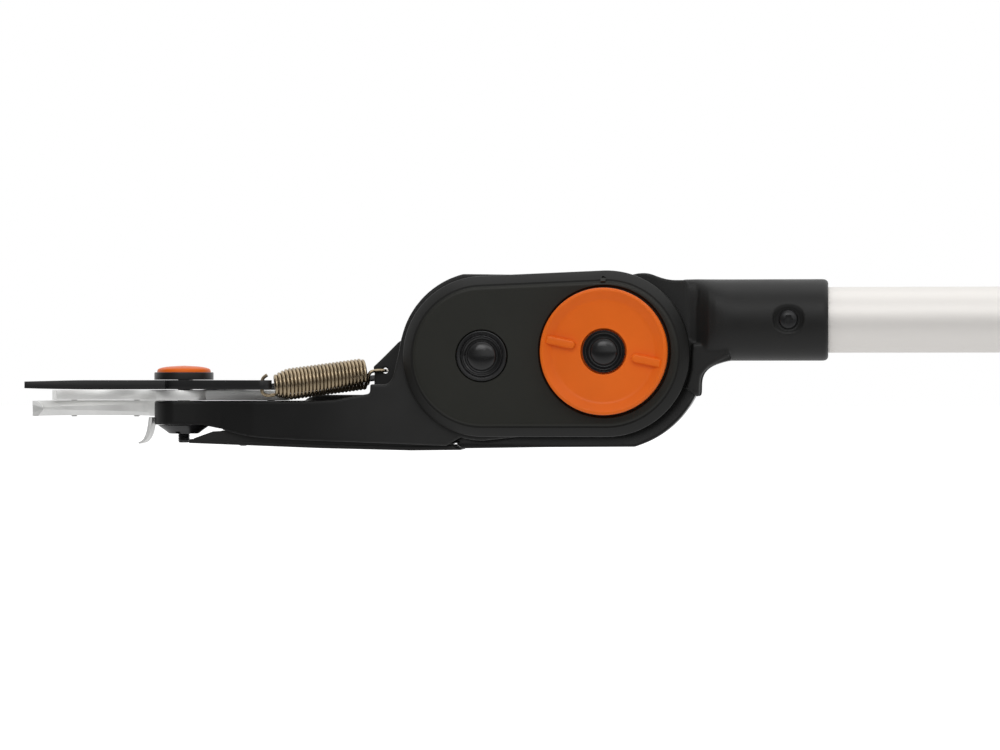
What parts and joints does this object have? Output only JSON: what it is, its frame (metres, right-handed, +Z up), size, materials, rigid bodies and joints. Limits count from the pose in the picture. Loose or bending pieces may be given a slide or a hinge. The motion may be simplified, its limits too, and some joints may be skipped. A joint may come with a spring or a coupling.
{
  "type": "cordless pole pruner",
  "caption": "Hand-worked pole pruner: a tilting head with a bypass blade and hook, an orange lock dial, a straight tube and a sliding pull grip.",
  "frame": {"origin": "centre of the end knob's flat face, on the pole's axis", "axes": "+X along the pole, out of the knob's flat face; +Z up, along the blade's pivot, from the hook towards the moving blade; -Y out of the side that carries the lock dial"},
  "size_m": [1.5823, 0.078, 0.0909],
  "materials": {
    "dark_nylon": "satin moulded nylon",
    "cover_nylon": "satin moulded nylon, finely grained",
    "orange_plastic": "satin",
    "coated_steel": "dark non-stick coating, satin",
    "bright_steel": "bright, ground",
    "spring_steel": "drawn, straw-tinted",
    "anodised_aluminium": "clear anodised, satin",
    "black_steel": "blackened",
    "webbing": "woven",
    "soft_grip": "matt foam and soft plastic"
  },
  "bodies": {
    "pole": {"pole_tube": "anodised_aluminium", "yoke_collar": "dark_nylon", "collar_screw_near": "black_steel", "collar_screw_far": "black_steel", "pole_insert": "dark_nylon", "pole_strap": "webbing", "foam_grip": "soft_grip", "end_knob": "orange_plastic", "knob_core": "dark_nylon", "knob_screw": "black_steel"},
    "head": {"arm": "dark_nylon", "near_cover": "cover_nylon", "far_cover": "cover_nylon", "strap_guard": "dark_nylon", "knuckle_axle": "bright_steel", "knuckle_cap": "black_steel", "knuckle_nut": "bright_steel", "reel_axle": "bright_steel", "reel_cap_near": "black_steel", "reel_cap_far": "black_steel", "cover_screw_1": "black_steel", "cover_screw_2": "black_steel", "cover_screw_3": "black_steel", "cover_screw_4": "black_steel", "counter_blade": "bright_steel", "branch_hook": "bright_steel", "jaw_rivet_1": "bright_steel", "jaw_rivet_2": "bright_steel", "tail_screw": "black_steel", "claw": "bright_steel", "pivot_bolt": "bright_steel", "pivot_nut": "black_steel", "bottom_cover": "dark_nylon", "bottom_screw_1": "black_steel", "bottom_screw_2": "black_steel", "return_spring": "spring_steel", "reel_strap": "webbing", "blade_strap": "webbing"},
    "blade": {"moving_blade": "coated_steel", "pivot_ring": "coated_steel", "pivot_cap": "orange_plastic", "drive_pin": "bright_steel"},
    "dial": {"lock_dial": "orange_plastic"},
    "pulley": {"knuckle_pulley": "dark_nylon"},
    "reel": {"strap_reel": "dark_nylon"},
    "grip": {"grip_bush": "dark_nylon", "grip_upper": "soft_grip", "grip_lower": "soft_grip", "grip_screw_1": "black_steel", "grip_screw_2": "black_steel", "strap_anchor": "bright_steel"}
  },
  "joints": [
    {"name": "head_tilt", "type": "hinge", "parent": "pole", "child": "head", "pos_m": [-1.295, 0, -0.0155], "axis": [0, 1, 0], "range_deg": [-40, 100], "deforming": ["pole_strap"]},
    {"name": "dial_turn", "type": "hinge", "parent": "head", "child": "dial", "pos_m": [-1.295, -0.028, -0.0155], "axis": [0, 1, 0], "range_deg": [0, 90]},
    {"name": "grip_slide", "type": "slide", "parent": "pole", "child": "grip", "axis": [1, 0, 0], "range_m": [0, 0.085], "deforming": ["pole_strap"]},
    {"name": "blade_turn", "type": "hinge", "parent": "head", "child": "blade", "pos_m": [-1.5065, 0, -0.0315], "axis": [0, 0, -1], "range_deg": [0, 33.2], "stiffness_Nm_per_rad": 0.8, "springref_deg": -22.92, "deforming": ["return_spring", "blade_strap"]},
    {"name": "reel_turn", "type": "hinge", "parent": "head", "child": "reel", "pos_m": [-1.3547, 0, -0.0176], "axis": [0, -1, 0], "range_deg": [0, 160]},
    {"name": "pulley_turn", "type": "hinge", "parent": "head", "child": "pulley", "pos_m": [-1.295, 0, -0.0155], "axis": [0, 1, 0], "range_deg": [0, 312]}
  ],
  "couplings": [
    {"joint": "blade_turn", "follows": "grip_slide", "rad_per_m": 6.77},
    {"joint": "reel_turn", "follows": "grip_slide", "rad_per_m": 32.362},
    {"joint": "pulley_turn", "follows": "grip_slide", "rad_per_m": 63.291}
  ]
}
